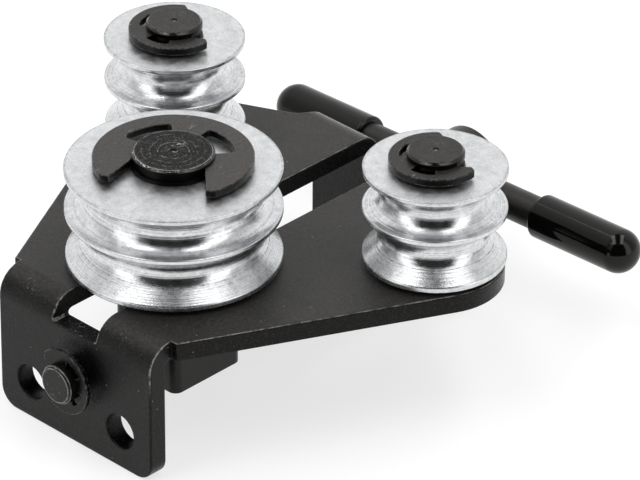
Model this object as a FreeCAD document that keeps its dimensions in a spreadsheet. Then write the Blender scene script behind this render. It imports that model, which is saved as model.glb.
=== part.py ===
import FreeCAD, Part
import math
import os

import Sketcher

# Brake pipe bender: a folded steel frame carries two small grooved rollers on fixed axles.
# A large grooved roller stands on a carriage under the frame, and a lead screw with a
# tee handle pulls it towards the small ones, so that a pipe laid between them bends.
#
# Lengths are in millimetres. X runs across the frame, Y from the front flange to the handle,
# Z up. The origin is on the front flange's outer face, midway between its two mounting holes.
# Every body is drawn with Z = 0 on the frame's top face, and is then lifted by hole_drop.


# Driving dimensions: alias, value, meaning

DIMENSIONS = [
    ("plate_thickness", 4.8, "steel sheet of the frame"),
    ("bend_inside", 2.0, "inside radius of the two bends"),
    ("frame_length", 112.4, "outer face to outer face of the two flanges"),
    ("flange_width", 52.0, "width of both flanges"),
    ("flange_height", 37.05, "top face to the lower edge of the flanges"),
    ("flange_corner", 5.0, "radius of the flanges' lower corners"),
    ("edge_round", 0.5, "rounding along the frame's upper edges"),
    ("hole_drop", 26.9, "top face down to the mounting holes"),
    ("hole_spacing", 30.8, "between the two mounting holes"),
    ("hole_diameter", 9.0, "mounting holes, clearance for M8"),
    ("slot_width", 14.75, "slot that the large axle's neck runs in"),
    ("slot_corner", 1.0, "corner radius at the slot's ends in the flanges"),
    ("slot_run_out", 0.2, "sheet's lower face to the start of those corners"),
    ("slot_play", 0.075, "gap each side of the neck in the slot"),
    ("spread", 44.44, "mid-plane to each small roller's axis"),
    ("small_axle_setback", 35.11, "rear flange's outer face to the small rollers' axes"),
    ("wing_radius", 17.14, "rounded end of each wing"),
    ("shoulder_gap", 0.4, "front bend to the start of the wings"),
    ("wing_step", 1.83, "front flange's side to the start of the wing's front edge"),
    ("wing_corner", 7.0, "radius of the hollow corner between wing and rear flange"),
    ("corner_setback", 3.2, "rear flange's outer face to the end of the hollow corner"),

    ("roller_height", 25.0, "all three rollers"),
    ("large_radius", 26.25, "large roller"),
    ("small_radius", 17.5, "small rollers"),
    ("groove_radius", 4.8, "pipe grooves"),
    ("top_rim", 1.2, "rim above the upper groove"),
    ("middle_rim", 1.3, "rim between the two grooves"),
    ("flank_angle", 45.0, "lower groove's straight flank, degrees from X"),
    ("rim_chamfer", 0.15, "broken edges of the rollers"),
    ("roller_bore_play", 0.06, "gap round the axles in the rollers"),

    ("carriage_y", 33.54, "front flange to the large roller's axis"),
    ("slide_play", 0.1, "gap above and below the frame's sheet"),
    ("block_width", 21.2, "carriage block across the frame"),
    ("block_ahead", 10.34, "block's front face to the large axle's axis"),
    ("block_behind", 12.16, "large axle's axis to the block's rear face"),
    ("block_bottom", 29.6, "frame's top face down to the block's lower face"),
    ("block_corner", 2.2, "block's four upright edges"),
    ("block_mouth", 1.0, "chamfer at both ends of the block's thread"),

    ("large_axle_rise", 1.3, "clip's upper face to the large axle's top"),
    ("small_axle_rise", 1.85, "clips' upper face to the small axles' tops"),
    ("axle_chamfer", 0.6, "chamfer round the axles' tops"),
    ("centre_mark", 0.8, "radius of the centre mark in the axles' tops"),
    ("large_axle_radius", 10.0, "large axle above the frame"),
    ("spigot_radius", 6.0, "large axle's threaded end in the block"),
    ("spigot_gap", 0.8, "spigot's end to the screw"),
    ("spigot_play", 0.03, "gap round the spigot in the block"),
    ("small_axle_radius", 7.0, "small axles above the frame"),
    ("rivet_radius", 5.0, "small axles' shanks through the frame"),
    ("rivet_play", 0.03, "gap round the shanks in the frame"),
    ("rivet_head_radius", 7.5, "heads under the frame"),
    ("rivet_head_height", 2.0, "heads under the frame"),

    ("washer_thickness", 1.0, "washers under the rollers"),
    ("large_washer_radius", 21.0, "washer under the large roller"),
    ("small_washer_radius", 14.0, "washers under the small rollers"),
    ("washer_play", 0.15, "gap round the axles in the washers"),
    ("roller_gap", 0.1, "large washer's upper face to the rollers' lower face"),

    ("clip_play", 0.04, "gap between a clip and its groove"),
    ("clip_lift", 0.9, "rollers' upper face to the clips' lower face"),
    ("clip_edge_chamfer", 0.2, "broken edges of the clips' upper faces"),
    ("large_clip_bite", 0.5, "depth of its groove"),
    ("large_clip_radius", 19.4, "outside"),
    ("large_clip_thickness", 1.8, "sheet"),
    ("large_clip_rim", 4.6, "width left outside the windows"),
    ("large_clip_window_start", 18.5, "windows begin, degrees from the clip's back"),
    ("large_clip_window_end", 69.0, "windows end, degrees from the clip's back"),
    ("large_clip_window_round", 1.2, "windows' outer corners"),
    ("large_clip_throat", 7.73, "half the mouth at the axis"),
    ("large_clip_cut", 6.0, "outside to the tips, along the opening"),
    ("large_clip_land", 2.1, "end face of each tip"),
    ("large_clip_tip_round", 1.5, "outer corners of the tips"),
    ("large_clip_angle", -61.0, "opening direction, degrees from X"),
    ("small_clip_bite", 1.0, "depth of its groove"),
    ("small_clip_radius", 11.35, "outside"),
    ("small_clip_thickness", 1.8, "sheet"),
    ("small_clip_rim", 2.55, "width left outside the windows"),
    ("small_clip_window_start", 21.0, "windows begin, degrees from the clip's back"),
    ("small_clip_window_end", 64.0, "windows end, degrees from the clip's back"),
    ("small_clip_window_round", 0.8, "windows' outer corners"),
    ("small_clip_throat", 5.0, "half the mouth at the axis"),
    ("small_clip_cut", 5.65, "outside to the tips, along the opening"),
    ("small_clip_land", 1.8, "end face of each tip"),
    ("small_clip_tip_round", 1.0, "outer corners of the tips"),
    ("left_clip_angle", 61.5, "opening direction, degrees from X"),
    ("right_clip_angle", 68.5, "opening direction, degrees from X"),
    ("screw_clip_bite", 1.0, "depth of its groove"),
    ("screw_clip_radius", 8.5, "outside"),
    ("screw_clip_thickness", 1.0, "sheet"),
    ("screw_clip_rim", 2.1, "width left outside the windows"),
    ("screw_clip_window_start", 20.0, "windows begin, degrees from the clip's back"),
    ("screw_clip_window_end", 65.0, "windows end, degrees from the clip's back"),
    ("screw_clip_window_round", 0.5, "windows' outer corners"),
    ("screw_clip_throat", 3.1, "half the mouth at the axis"),
    ("screw_clip_cut", 3.1, "outside to the tips, along the opening"),
    ("screw_clip_land", 1.95, "end face of each tip"),
    ("screw_clip_tip_round", 0.6, "outer corners of the tips"),
    ("screw_clip_angle", 190.0, "opening direction, degrees from X"),

    ("screw_drop", 18.1, "frame's top face down to the screw's axis"),
    ("screw_radius", 6.0, "outside of the M12 thread, and the rear shank"),
    ("thread_play", 0.05, "gap round the thread in the block"),
    ("screw_bore_play", 0.07, "gap round the screw in both flanges"),
    ("journal_radius", 5.0, "screw's plain end in the front flange"),
    ("journal_reach", 6.3, "front flange to the screw's front end"),
    ("journal_chamfer", 0.6, "round the screw's front end"),
    ("screw_clip_gap", 2.9, "front flange to the clip"),
    ("thrust_play", 0.05, "front flange's inner face to the screw's shoulder"),
    ("hub_gap", 10.6, "rear flange to the hub's front face"),
    ("hub_length", 16.6, "hub of the tee handle"),
    ("hub_radius", 10.8, "hub of the tee handle"),
    ("hub_chamfer", 1.2, "hub's two outer edges"),
    ("hub_play", 0.03, "gap round the screw in the hub"),
    ("tee_angle", 2.14, "handle's turn in the photographed pose, degrees"),
    ("bar_radius", 4.25, "cross bar"),
    ("bar_play", 0.03, "gap round the bar in the hub and in the grips"),
    ("bar_shift", 0.7, "bar's middle to the hub's axis"),
    ("bar_half_length", 56.5, "cross bar inside the grips"),
    ("grip_wall", 1.42, "wall of the dipped grips"),
    ("grip_start", 29.6, "bar's middle to the open end of a grip"),
    ("grip_cap", 4.27, "thickness of a grip's closed end"),
    ("grip_end_flat", 0.3, "flat left in the middle of a grip's closed end"),
    ("grip_lip", 0.9, "rounding round the open end of a grip"),
]

SIZE = {alias: value for alias, value, meaning in DIMENSIONS}

# How far a cut runs past the solid that it cuts
OVERCUT = 5.0

# Points closer together than this count as one
TOUCHING = 1e-4

# Points looked at along an edge to tell where it lies
EDGE_SAMPLES = 5

# Places that several pieces share, from the frame's top face or its front flange
SLOT_END = "-(#plate_thickness + #slot_run_out + #slot_corner)"
WING_START = "(#bend_inside + #plate_thickness + #shoulder_gap)"
SMALL_AXLE_Y = "(#frame_length - #small_axle_setback)"
ROLLER_BOTTOM = "(#slide_play + #washer_thickness + #roller_gap)"
ROLLER_TOP = "(%s + #roller_height)" % ROLLER_BOTTOM
CLIP_FLOOR = "(%s + #clip_lift)" % ROLLER_TOP
HUB_START = "(#frame_length + #hub_gap)"

# The shaft that each kind of clip grips
CLIP_SHAFTS = {
    "large_clip": "large_axle_radius",
    "small_clip": "small_axle_radius",
    "screw_clip": "journal_radius",
}


doc = FreeCAD.newDocument("pipe_bender")
sheet = doc.addObject("Spreadsheet::Sheet", "Sizes")
for row, (alias, value, meaning) in enumerate(DIMENSIONS, start=1):
    sheet.set("A%d" % row, meaning)
    sheet.set("B%d" % row, str(value))
    sheet.setAlias("B%d" % row, alias)
doc.recompute()


# Helpers

def bind(thing, prop, formula):
    """Ties a property to the sheet: names in the formula that start with # are its aliases."""
    thing.setExpression(prop, formula.replace("#", "Sizes."))


def place(thing, x="0", y="0", z="0", axis="0; 0; 1", angle="0"):
    bind(thing, "Placement",
         "placement(vector(%s; %s; %s); rotation(vector(%s); %s))" % (x, y, z, axis, angle))


def new_body(name):
    body = doc.addObject("PartDesign::Body", name)
    body.Label = name
    return body


def origin_plane(body, role):
    for feature in body.Origin.OriginFeatures:
        if feature.Role == role:
            return feature
    raise ValueError(role)


def new_sketch(body, name, role, lift="0"):
    sketch = body.newObject("Sketcher::SketchObject", name)
    sketch.AttachmentSupport = [(origin_plane(body, role), "")]
    sketch.MapMode = "FlatFace"
    if lift != "0":
        bind(sketch, "AttachmentOffset.Base.z", lift)
    return sketch


def dimension(sketch, kind, *places, drawn, formula):
    """Adds a dimension at the value that is drawn, so nothing moves, and ties it to the sheet."""
    index = sketch.addConstraint(Sketcher.Constraint(kind, *places, drawn))
    bind(sketch, "Constraints[%d]" % index, formula)


def pin_point(sketch, edge, end, x, y):
    """Fixes one end of an edge, or the centre of an arc, at x and y from the sketch's origin."""
    here = sketch.getPoint(edge, end)
    dimension(sketch, "DistanceX", -1, 1, edge, end, drawn=here.x, formula=x)
    dimension(sketch, "DistanceY", -1, 1, edge, end, drawn=here.y, formula=y)


def set_radius(sketch, edge, formula):
    dimension(sketch, "Radius", edge, drawn=sketch.Geometry[edge].Radius, formula=formula)


def set_direction(sketch, edge, formula):
    """Fixes the direction of a straight edge, in degrees from the sketch's X axis."""
    line = sketch.Geometry[edge]
    along = line.EndPoint - line.StartPoint
    dimension(sketch, "Angle", edge, drawn=math.atan2(along.y, along.x), formula=formula)


def outline(body, name, role, corners, lift="0"):
    """A sketch of straight edges through corners, each a pair of formulas."""
    sketch = new_sketch(body, name, role, lift)
    count = len(corners)
    guesses = []
    for index in range(count):
        turn = 2 * math.pi * index / count
        guesses.append(FreeCAD.Vector(math.cos(turn), math.sin(turn), 0))
    for index in range(count):
        after = (index + 1) % count
        sketch.addGeometry(Part.LineSegment(guesses[index], guesses[after]), False)
    for index in range(count):
        after = (index + 1) % count
        sketch.addConstraint(Sketcher.Constraint("Coincident", index, 2, after, 1))
    for index, (x, y) in enumerate(corners):
        pin_point(sketch, index, 1, x, y)
    return sketch


def circle(body, name, role, x, y, radius, lift="0"):
    sketch = new_sketch(body, name, role, lift)
    sketch.addGeometry(Part.Circle(FreeCAD.Vector(0, 0, 0), FreeCAD.Vector(0, 0, 1), 1), False)
    pin_point(sketch, 0, 3, x, y)
    set_radius(sketch, 0, radius)
    return sketch


def pad(body, name, sketch, length, both_ways=False):
    feature = body.newObject("PartDesign::Pad", name)
    feature.Profile = sketch
    if both_ways:
        feature.SideType = "Symmetric"
    bind(feature, "Length", length)
    return feature


def pocket(body, name, sketch):
    """Cuts a sketch's outline right through, to both sides of its plane."""
    feature = body.newObject("PartDesign::Pocket", name)
    feature.Profile = sketch
    feature.Type = "ThroughAll"
    feature.SideType = "Symmetric"
    return feature


def blind_pocket(body, name, sketch, depth, reverse=False):
    feature = body.newObject("PartDesign::Pocket", name)
    feature.Profile = sketch
    feature.Reversed = reverse
    bind(feature, "Length", depth)
    return feature


def turned(body, name, sketch, kind="PartDesign::Revolution"):
    """Turns a sketch about its own vertical axis, adding material or cutting a groove."""
    feature = body.newObject(kind, name)
    feature.Profile = sketch
    feature.ReferenceAxis = (sketch, ["V_Axis"])
    feature.Angle = 360.0
    return feature


def edges_of(feature, wanted):
    """Names of the edges whose every sampled point passes the test wanted."""
    names = []
    for index, edge in enumerate(feature.Shape.Edges, start=1):
        if all(wanted(point) for point in edge.discretize(Number=EDGE_SAMPLES)):
            names.append("Edge%d" % index)
    return names


def dress(body, name, kind, wanted, prop, formula):
    """Rounds or chamfers the edges of a body's last feature that pass the test wanted."""
    doc.recompute()
    base = body.Tip
    names = edges_of(base, wanted)
    if not names:
        raise ValueError("no edges for " + name)
    feature = body.newObject(kind, name)
    feature.Base = (base, names)
    bind(feature, prop, formula)
    return feature


def close(first, second):
    return abs(first - second) < TOUCHING


# Frame: one folded sheet

def add_fold(body):
    """The sheet folded down at both ends, as wide as the wings reach."""
    corners = [
        ("0", "-#flange_height"),
        ("0", "0"),
        ("#frame_length", "0"),
        ("#frame_length", "-#flange_height"),
        ("#frame_length - #plate_thickness", "-#flange_height"),
        ("#frame_length - #plate_thickness", "-#plate_thickness"),
        ("#plate_thickness", "-#plate_thickness"),
        ("#plate_thickness", "-#flange_height"),
    ]
    profile = outline(body, "fold_profile", "YZ_Plane", corners)
    pad(body, "fold", profile, "2 * (#spread + #wing_radius)", both_ways=True)

    def outer_bend(point):
        at_end = close(point.y, 0) or close(point.y, SIZE["frame_length"])
        return at_end and close(point.z, 0)

    def inner_bend(point):
        front = close(point.y, SIZE["plate_thickness"])
        rear = close(point.y, SIZE["frame_length"] - SIZE["plate_thickness"])
        return (front or rear) and close(point.z, -SIZE["plate_thickness"])

    dress(body, "outer_bends", "PartDesign::Fillet", outer_bend,
          "Radius", "#bend_inside + #plate_thickness")
    dress(body, "inner_bends", "PartDesign::Fillet", inner_bend, "Radius", "#bend_inside")


def add_wing_trim(body):
    """Trims the sheet beside the flanges and round the wings, right side then left."""
    half = SIZE["flange_width"] / 2
    axle = FreeCAD.Vector(SIZE["spread"], SIZE["frame_length"] - SIZE["small_axle_setback"], 0)
    wing_start = SIZE["bend_inside"] + SIZE["plate_thickness"] + SIZE["shoulder_gap"]
    step = FreeCAD.Vector(half + SIZE["wing_step"], wing_start, 0)
    hollow_end = FreeCAD.Vector(half, SIZE["frame_length"] - SIZE["corner_setback"], 0)
    hollow_centre = hollow_end + FreeCAD.Vector(SIZE["wing_corner"], 0, 0)
    far_x = SIZE["spread"] + SIZE["wing_radius"] + OVERCUT
    far_y = SIZE["frame_length"] + OVERCUT
    near_y = -OVERCUT

    def direction(angle):
        return FreeCAD.Vector(math.cos(angle), math.sin(angle), 0)

    to_axle = axle - step
    front = math.atan2(to_axle.y, to_axle.x) - math.asin(SIZE["wing_radius"] / to_axle.Length)
    front_touch = axle + direction(front - math.pi / 2) * SIZE["wing_radius"]
    to_hollow = hollow_centre - axle
    both_radii = SIZE["wing_radius"] + SIZE["wing_corner"]
    rear = math.atan2(to_hollow.y, to_hollow.x) - math.acos(both_radii / to_hollow.Length)
    rear_touch = axle + direction(rear) * SIZE["wing_radius"]
    hollow_start = hollow_centre - direction(rear) * SIZE["wing_corner"]

    upright = FreeCAD.Vector(0, 0, 1)
    wing_circle = Part.Circle(axle, upright, SIZE["wing_radius"])
    hollow_circle = Part.Circle(hollow_centre, upright, SIZE["wing_corner"])
    points = [
        FreeCAD.Vector(half, near_y, 0),
        FreeCAD.Vector(half, step.y, 0),
        step,
        front_touch,
        rear_touch,
        hollow_start,
        hollow_end,
        FreeCAD.Vector(half, far_y, 0),
        FreeCAD.Vector(far_x, far_y, 0),
        FreeCAD.Vector(far_x, near_y, 0),
    ]
    sketch = new_sketch(body, "wing_trim", "XY_Plane")
    flange_side = sketch.addGeometry(Part.LineSegment(points[0], points[1]), False)
    shoulder = sketch.addGeometry(Part.LineSegment(points[1], points[2]), False)
    front_edge = sketch.addGeometry(Part.LineSegment(points[2], points[3]), False)
    wing_end = sketch.addGeometry(
        Part.ArcOfCircle(wing_circle, front - math.pi / 2, rear), False)
    rear_edge = sketch.addGeometry(Part.LineSegment(points[4], points[5]), False)
    hollow = sketch.addGeometry(
        Part.ArcOfCircle(hollow_circle, math.pi, math.pi + rear), False)
    rear_side = sketch.addGeometry(Part.LineSegment(points[6], points[7]), False)
    far_edge = sketch.addGeometry(Part.LineSegment(points[7], points[8]), False)
    outside = sketch.addGeometry(Part.LineSegment(points[8], points[9]), False)
    near_edge = sketch.addGeometry(Part.LineSegment(points[9], points[0]), False)

    for first, first_end, second, second_end in [
        (flange_side, 2, shoulder, 1),
        (shoulder, 2, front_edge, 1),
        (rear_side, 2, far_edge, 1),
        (far_edge, 2, outside, 1),
        (outside, 2, near_edge, 1),
        (near_edge, 2, flange_side, 1),
    ]:
        sketch.addConstraint(Sketcher.Constraint("Coincident", first, first_end, second, second_end))
    for first, first_end, second, second_end in [
        (front_edge, 2, wing_end, 1),
        (wing_end, 2, rear_edge, 1),
        (rear_edge, 2, hollow, 2),
        (hollow, 1, rear_side, 1),
    ]:
        sketch.addConstraint(Sketcher.Constraint("Tangent", first, first_end, second, second_end))
    for edge in (flange_side, rear_side, outside):
        sketch.addConstraint(Sketcher.Constraint("Vertical", edge))
    for edge in (shoulder, far_edge, near_edge):
        sketch.addConstraint(Sketcher.Constraint("Horizontal", edge))
    pin_point(sketch, shoulder, 2, "#flange_width / 2 + #wing_step", WING_START)
    dimension(sketch, "DistanceX", -1, 1, flange_side, 2, drawn=half, formula="#flange_width / 2")
    pin_point(sketch, rear_side, 2, "#flange_width / 2", "#frame_length + %s" % OVERCUT)
    pin_point(sketch, near_edge, 1, "#spread + #wing_radius + %s" % OVERCUT, "-%s" % OVERCUT)
    pin_point(sketch, wing_end, 3, "#spread", SMALL_AXLE_Y)
    set_radius(sketch, wing_end, "#wing_radius")
    set_radius(sketch, hollow, "#wing_corner")
    dimension(sketch, "DistanceY", -1, 1, hollow, 3, drawn=hollow_end.y,
              formula="#frame_length - #corner_setback")

    right = pocket(body, "trim_right", sketch)
    left = body.newObject("PartDesign::Mirrored", "trim_left")
    left.Originals = [right]
    left.MirrorPlane = (origin_plane(body, "YZ_Plane"), [""])
    body.Tip = left


def add_frame_cuts(body):
    """The long slot, the mounting holes, the screw's bores and the small axles' holes."""
    corners = [
        ("-#slot_width / 2", SLOT_END),
        ("#slot_width / 2", SLOT_END),
        ("#slot_width / 2", "%s" % OVERCUT),
        ("-#slot_width / 2", "%s" % OVERCUT),
    ]
    pocket(body, "slot", outline(body, "slot_outline", "XZ_Plane", corners))

    end = -(SIZE["plate_thickness"] + SIZE["slot_run_out"] + SIZE["slot_corner"])

    def slot_end(point):
        return close(abs(point.x), SIZE["slot_width"] / 2) and close(point.z, end)

    dress(body, "slot_corners", "PartDesign::Fillet", slot_end, "Radius", "#slot_corner")

    for side, sign in (("left", "-"), ("right", "")):
        hole = circle(body, "mount_hole_%s_circle" % side, "XZ_Plane",
                      sign + "#hole_spacing / 2", "-#hole_drop", "#hole_diameter / 2")
        blind_pocket(body, "mount_hole_" + side, hole, "#plate_thickness + #bend_inside")
    bore = circle(body, "front_bore_circle", "XZ_Plane", "0", "-#screw_drop",
                  "#journal_radius + #screw_bore_play")
    blind_pocket(body, "front_bore", bore, "#plate_thickness + #bend_inside")
    bore = circle(body, "rear_bore_circle", "XZ_Plane", "0", "-#screw_drop",
                  "#screw_radius + #screw_bore_play", lift="-#frame_length")
    blind_pocket(body, "rear_bore", bore, "#plate_thickness + #bend_inside", reverse=True)
    for side, sign in (("left", "-"), ("right", "")):
        hole = circle(body, "axle_hole_%s_circle" % side, "XY_Plane",
                      sign + "#spread", SMALL_AXLE_Y, "#rivet_radius + #rivet_play")
        pocket(body, "axle_hole_" + side, hole)


def make_frame():
    body = new_body("frame_plate")
    add_fold(body)
    add_wing_trim(body)

    def flange_lower_corner(point):
        at_side = close(abs(point.x), SIZE["flange_width"] / 2)
        return at_side and close(point.z, -SIZE["flange_height"])

    dress(body, "lower_corners", "PartDesign::Fillet", flange_lower_corner,
          "Radius", "#flange_corner")
    add_frame_cuts(body)
    round_upper_edges(body)
    place(body, z="#hole_drop")
    return body


def round_upper_edges(body):
    """Rounds the sheet's edges on its outer skin: outline, slot and mounting holes."""
    bend = SIZE["bend_inside"] + SIZE["plate_thickness"]
    length = SIZE["frame_length"]
    small_axle_y = length - SIZE["small_axle_setback"]

    def on_outer_skin(point):
        from_end = min(point.y, length - point.y)
        if from_end > bend:
            return close(point.z, 0)
        if point.z < -bend:
            return close(from_end, 0)
        return close(math.hypot(bend - from_end, bend + point.z), bend)

    def along_bend(edge):
        first = edge.Vertexes[0].Point
        last = edge.Vertexes[-1].Point
        from_end = min(first.y, length - first.y)
        at_tangent = (close(first.z, 0) and close(from_end, bend)) or (
            close(first.z, -bend) and close(from_end, 0))
        return at_tangent and close(first.y, last.y) and close(first.z, last.z)

    def round_a_hidden_hole(edge):
        middle = edge.BoundBox.Center
        at_screw = close(middle.x, 0) and close(middle.z, -SIZE["screw_drop"])
        at_axle = close(abs(middle.x), SIZE["spread"]) and close(middle.y, small_axle_y)
        return at_screw or at_axle

    doc.recompute()
    base = body.Tip
    names = []
    for index, edge in enumerate(base.Shape.Edges, start=1):
        on_skin = all(on_outer_skin(point) for point in edge.discretize(Number=EDGE_SAMPLES))
        if on_skin and not along_bend(edge) and not round_a_hidden_hole(edge):
            names.append("Edge%d" % index)
    feature = body.newObject("PartDesign::Fillet", "upper_edges")
    feature.Base = (base, names)
    bind(feature, "Radius", "#edge_round")


# Rollers: turned, with two pipe grooves each

def make_roller(name, size, bore, x, y):
    body = new_body(name)
    radius = "#" + size
    upper = "%s - #top_rim - #groove_radius" % ROLLER_TOP
    lower = "%s - #top_rim - #middle_rim - 3 * #groove_radius" % ROLLER_TOP
    corners = [
        (bore, ROLLER_BOTTOM),
        (radius, ROLLER_BOTTOM),
        (radius, ROLLER_TOP),
        (bore, ROLLER_TOP),
    ]
    turned(body, name + "_blank", outline(body, name + "_half", "XZ_Plane", corners))
    for groove, height in (("upper", upper), ("lower", lower)):
        sketch = circle(body, "%s_%s_circle" % (name, groove), "XZ_Plane",
                        radius, height, "#groove_radius")
        turned(body, "%s_%s_groove" % (name, groove), sketch, "PartDesign::Groove")
    touch_x = "%s - #groove_radius * sin(#flank_angle)" % radius
    touch_y = "%s - #groove_radius * cos(#flank_angle)" % lower
    flank = [
        (radius, lower),
        (touch_x, touch_y),
        (radius, "%s - #groove_radius / cos(#flank_angle)" % lower),
    ]
    sketch = outline(body, name + "_flank", "XZ_Plane", flank)
    turned(body, name + "_flank_cut", sketch, "PartDesign::Groove")

    def on_rim(point):
        return close(math.hypot(point.x, point.y), SIZE[size])

    dress(body, name + "_rims", "PartDesign::Chamfer", on_rim, "Size", "#rim_chamfer")
    place(body, x=x, y=y, z="#hole_drop")
    return body


# Retaining clips: flat, open on one side, with two windows behind their jaws

def clip_seat(prefix):
    """Radius of the groove that a clip sits in."""
    return "(#%s - #%s_bite)" % (CLIP_SHAFTS[prefix], prefix)


def make_clip(name, prefix, x, y, z, turn, laid_over="0"):
    """A clip drawn open towards +X, its lower face at Z = 0, then turned, laid over and placed."""
    body = new_body(name)
    outside = SIZE["%s_radius" % prefix]
    thickness = SIZE["%s_thickness" % prefix]
    disc = circle(body, name + "_disc_circle", "XY_Plane", "0", "0", "#%s_radius" % prefix)
    pad(body, name + "_disc", disc, "#%s_thickness" % prefix)
    seat = circle(body, name + "_seat_circle", "XY_Plane", "0", "0",
                  "%s + #clip_play" % clip_seat(prefix))
    pocket(body, name + "_seat", seat)
    for side in (1, -1):
        window = new_sketch(body, "%s_window_%d" % (name, side + 2), "XY_Plane")
        add_window(window, prefix, side)
        pocket(body, "%s_window_cut_%d" % (name, side + 2), window)
    clear = "#%s_radius + %s" % (prefix, OVERCUT)
    tip = "#%s_radius - #%s_cut" % (prefix, prefix)
    mouth = "sqrt(#%s_radius ^ 2 - (%s) ^ 2) - #%s_land" % (prefix, tip, prefix)
    corners = [
        ("0", "-#%s_throat" % prefix),
        (tip, "-(%s)" % mouth),
        (tip, "-(%s)" % clear),
        (clear, "-(%s)" % clear),
        (clear, clear),
        (tip, clear),
        (tip, mouth),
        ("0", "#%s_throat" % prefix),
    ]
    pocket(body, name + "_mouth", outline(body, name + "_mouth_outline", "XY_Plane", corners))

    tip_x = outside - SIZE["%s_cut" % prefix]
    tip_y = math.sqrt(outside ** 2 - tip_x ** 2)
    window_radius = outside - SIZE["%s_rim" % prefix]
    window_ends = []
    for limit in ("start", "end"):
        angle = math.radians(180 - SIZE["%s_window_%s" % (prefix, limit)])
        window_ends.append((window_radius * math.cos(angle), window_radius * math.sin(angle)))

    def tip_corner(point):
        return close(point.x, tip_x) and close(abs(point.y), tip_y)

    def window_corner(point):
        return any(close(point.x, x) and close(abs(point.y), y) for x, y in window_ends)

    dress(body, name + "_tips", "PartDesign::Fillet", tip_corner,
          "Radius", "#%s_tip_round" % prefix)
    dress(body, name + "_window_corners", "PartDesign::Fillet", window_corner,
          "Radius", "#%s_window_round" % prefix)
    dress(body, name + "_edges", "PartDesign::Chamfer",
          lambda point: close(point.z, thickness), "Size", "#clip_edge_chamfer")
    bind(body, "Placement",
         "placement(vector(%s; %s; %s); rotation(vector(1; 0; 0); %s))"
         " * placement(vector(0; 0; 0); rotation(vector(0; 0; 1); %s))" % (x, y, z, laid_over, turn))
    return body


def add_window(sketch, prefix, side):
    """A sector from the clip's axis outwards, on one side of the clip's back."""
    start = math.pi - side * math.radians(SIZE["%s_window_start" % prefix])
    end = math.pi - side * math.radians(SIZE["%s_window_end" % prefix])
    radius = SIZE["%s_radius" % prefix] - SIZE["%s_rim" % prefix]
    centre = FreeCAD.Vector(0, 0, 0)
    first, last = (end, start) if side == 1 else (start, end)
    first_point = FreeCAD.Vector(radius * math.cos(first), radius * math.sin(first), 0)
    last_point = FreeCAD.Vector(radius * math.cos(last), radius * math.sin(last), 0)
    ring = Part.Circle(centre, FreeCAD.Vector(0, 0, 1), radius)
    lead = sketch.addGeometry(Part.LineSegment(centre, first_point), False)
    arc = sketch.addGeometry(Part.ArcOfCircle(ring, first, last), False)
    back = sketch.addGeometry(Part.LineSegment(last_point, centre), False)
    sketch.addConstraint(Sketcher.Constraint("Coincident", lead, 2, arc, 1))
    sketch.addConstraint(Sketcher.Constraint("Coincident", arc, 2, back, 1))
    sketch.addConstraint(Sketcher.Constraint("Coincident", back, 2, lead, 1))
    sketch.addConstraint(Sketcher.Constraint("Coincident", arc, 3, lead, 1))
    sketch.addConstraint(Sketcher.Constraint("Coincident", lead, 1, -1, 1))
    set_radius(sketch, arc, "#%s_radius - #%s_rim" % (prefix, prefix))
    if side == 1:
        set_direction(sketch, lead, "180 - #%s_window_end" % prefix)
        set_direction(sketch, back, "-#%s_window_start" % prefix)
    else:
        set_direction(sketch, lead, "#%s_window_start - 180" % prefix)
        set_direction(sketch, back, "#%s_window_end" % prefix)


# Axles, washers and the carriage block

def axle_head(prefix, rise):
    """The upper end of an axle from its chamfered top down to below the clip's groove."""
    radius = "#" + CLIP_SHAFTS[prefix]
    seat = clip_seat(prefix)
    clip_top = "%s + #%s_thickness" % (CLIP_FLOOR, prefix)
    top = "%s + %s" % (clip_top, rise)
    return [
        ("0", "%s - #centre_mark" % top),
        ("#centre_mark", top),
        ("%s - #axle_chamfer" % radius, top),
        (radius, "%s - #axle_chamfer" % top),
        (radius, "%s + #clip_play" % clip_top),
        (seat, "%s + #clip_play" % clip_top),
        (seat, "%s - #clip_play" % CLIP_FLOOR),
        (radius, "%s - #clip_play" % CLIP_FLOOR),
    ]


def make_large_axle():
    """Shaft above the frame, neck in the slot, and threaded spigot in the block."""
    body = new_body("large_axle")
    neck = "#slot_width / 2 - #slot_play"
    block_top = "-#plate_thickness - #slide_play"
    spigot_end = "-(#screw_drop - #screw_radius - #spigot_gap)"
    corners = axle_head("large_clip", "#large_axle_rise") + [
        ("#large_axle_radius", "#slide_play"),
        (neck, "#slide_play"),
        (neck, block_top),
        ("#spigot_radius", block_top),
        ("#spigot_radius", spigot_end),
        ("0", spigot_end),
    ]
    turned(body, "large_axle_turned", outline(body, "large_axle_half", "XZ_Plane", corners))
    place(body, y="#carriage_y", z="#hole_drop")
    return body


def make_small_axle(name, x):
    """Shaft standing on the frame, shank through it, and head closed over underneath."""
    body = new_body(name)
    corners = axle_head("small_clip", "#small_axle_rise") + [
        ("#small_axle_radius", "0"),
        ("#rivet_radius", "0"),
        ("#rivet_radius", "-#plate_thickness"),
        ("#rivet_head_radius", "-#plate_thickness"),
        ("#rivet_head_radius - #rivet_head_height / 2", "-#plate_thickness - #rivet_head_height"),
        ("0", "-#plate_thickness - #rivet_head_height"),
    ]
    turned(body, name + "_turned", outline(body, name + "_half", "XZ_Plane", corners))
    place(body, x=x, y=SMALL_AXLE_Y, z="#hole_drop")
    return body


def make_washer(name, radius, axle_radius, x, y, z):
    body = new_body(name)
    top = "#washer_thickness"
    corners = [
        ("%s + #washer_play" % axle_radius, "0"),
        (radius, "0"),
        (radius, top),
        ("%s + #washer_play" % axle_radius, top),
    ]
    turned(body, name + "_turned", outline(body, name + "_half", "XZ_Plane", corners))
    place(body, x=x, y=y, z=z)
    return body


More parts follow.
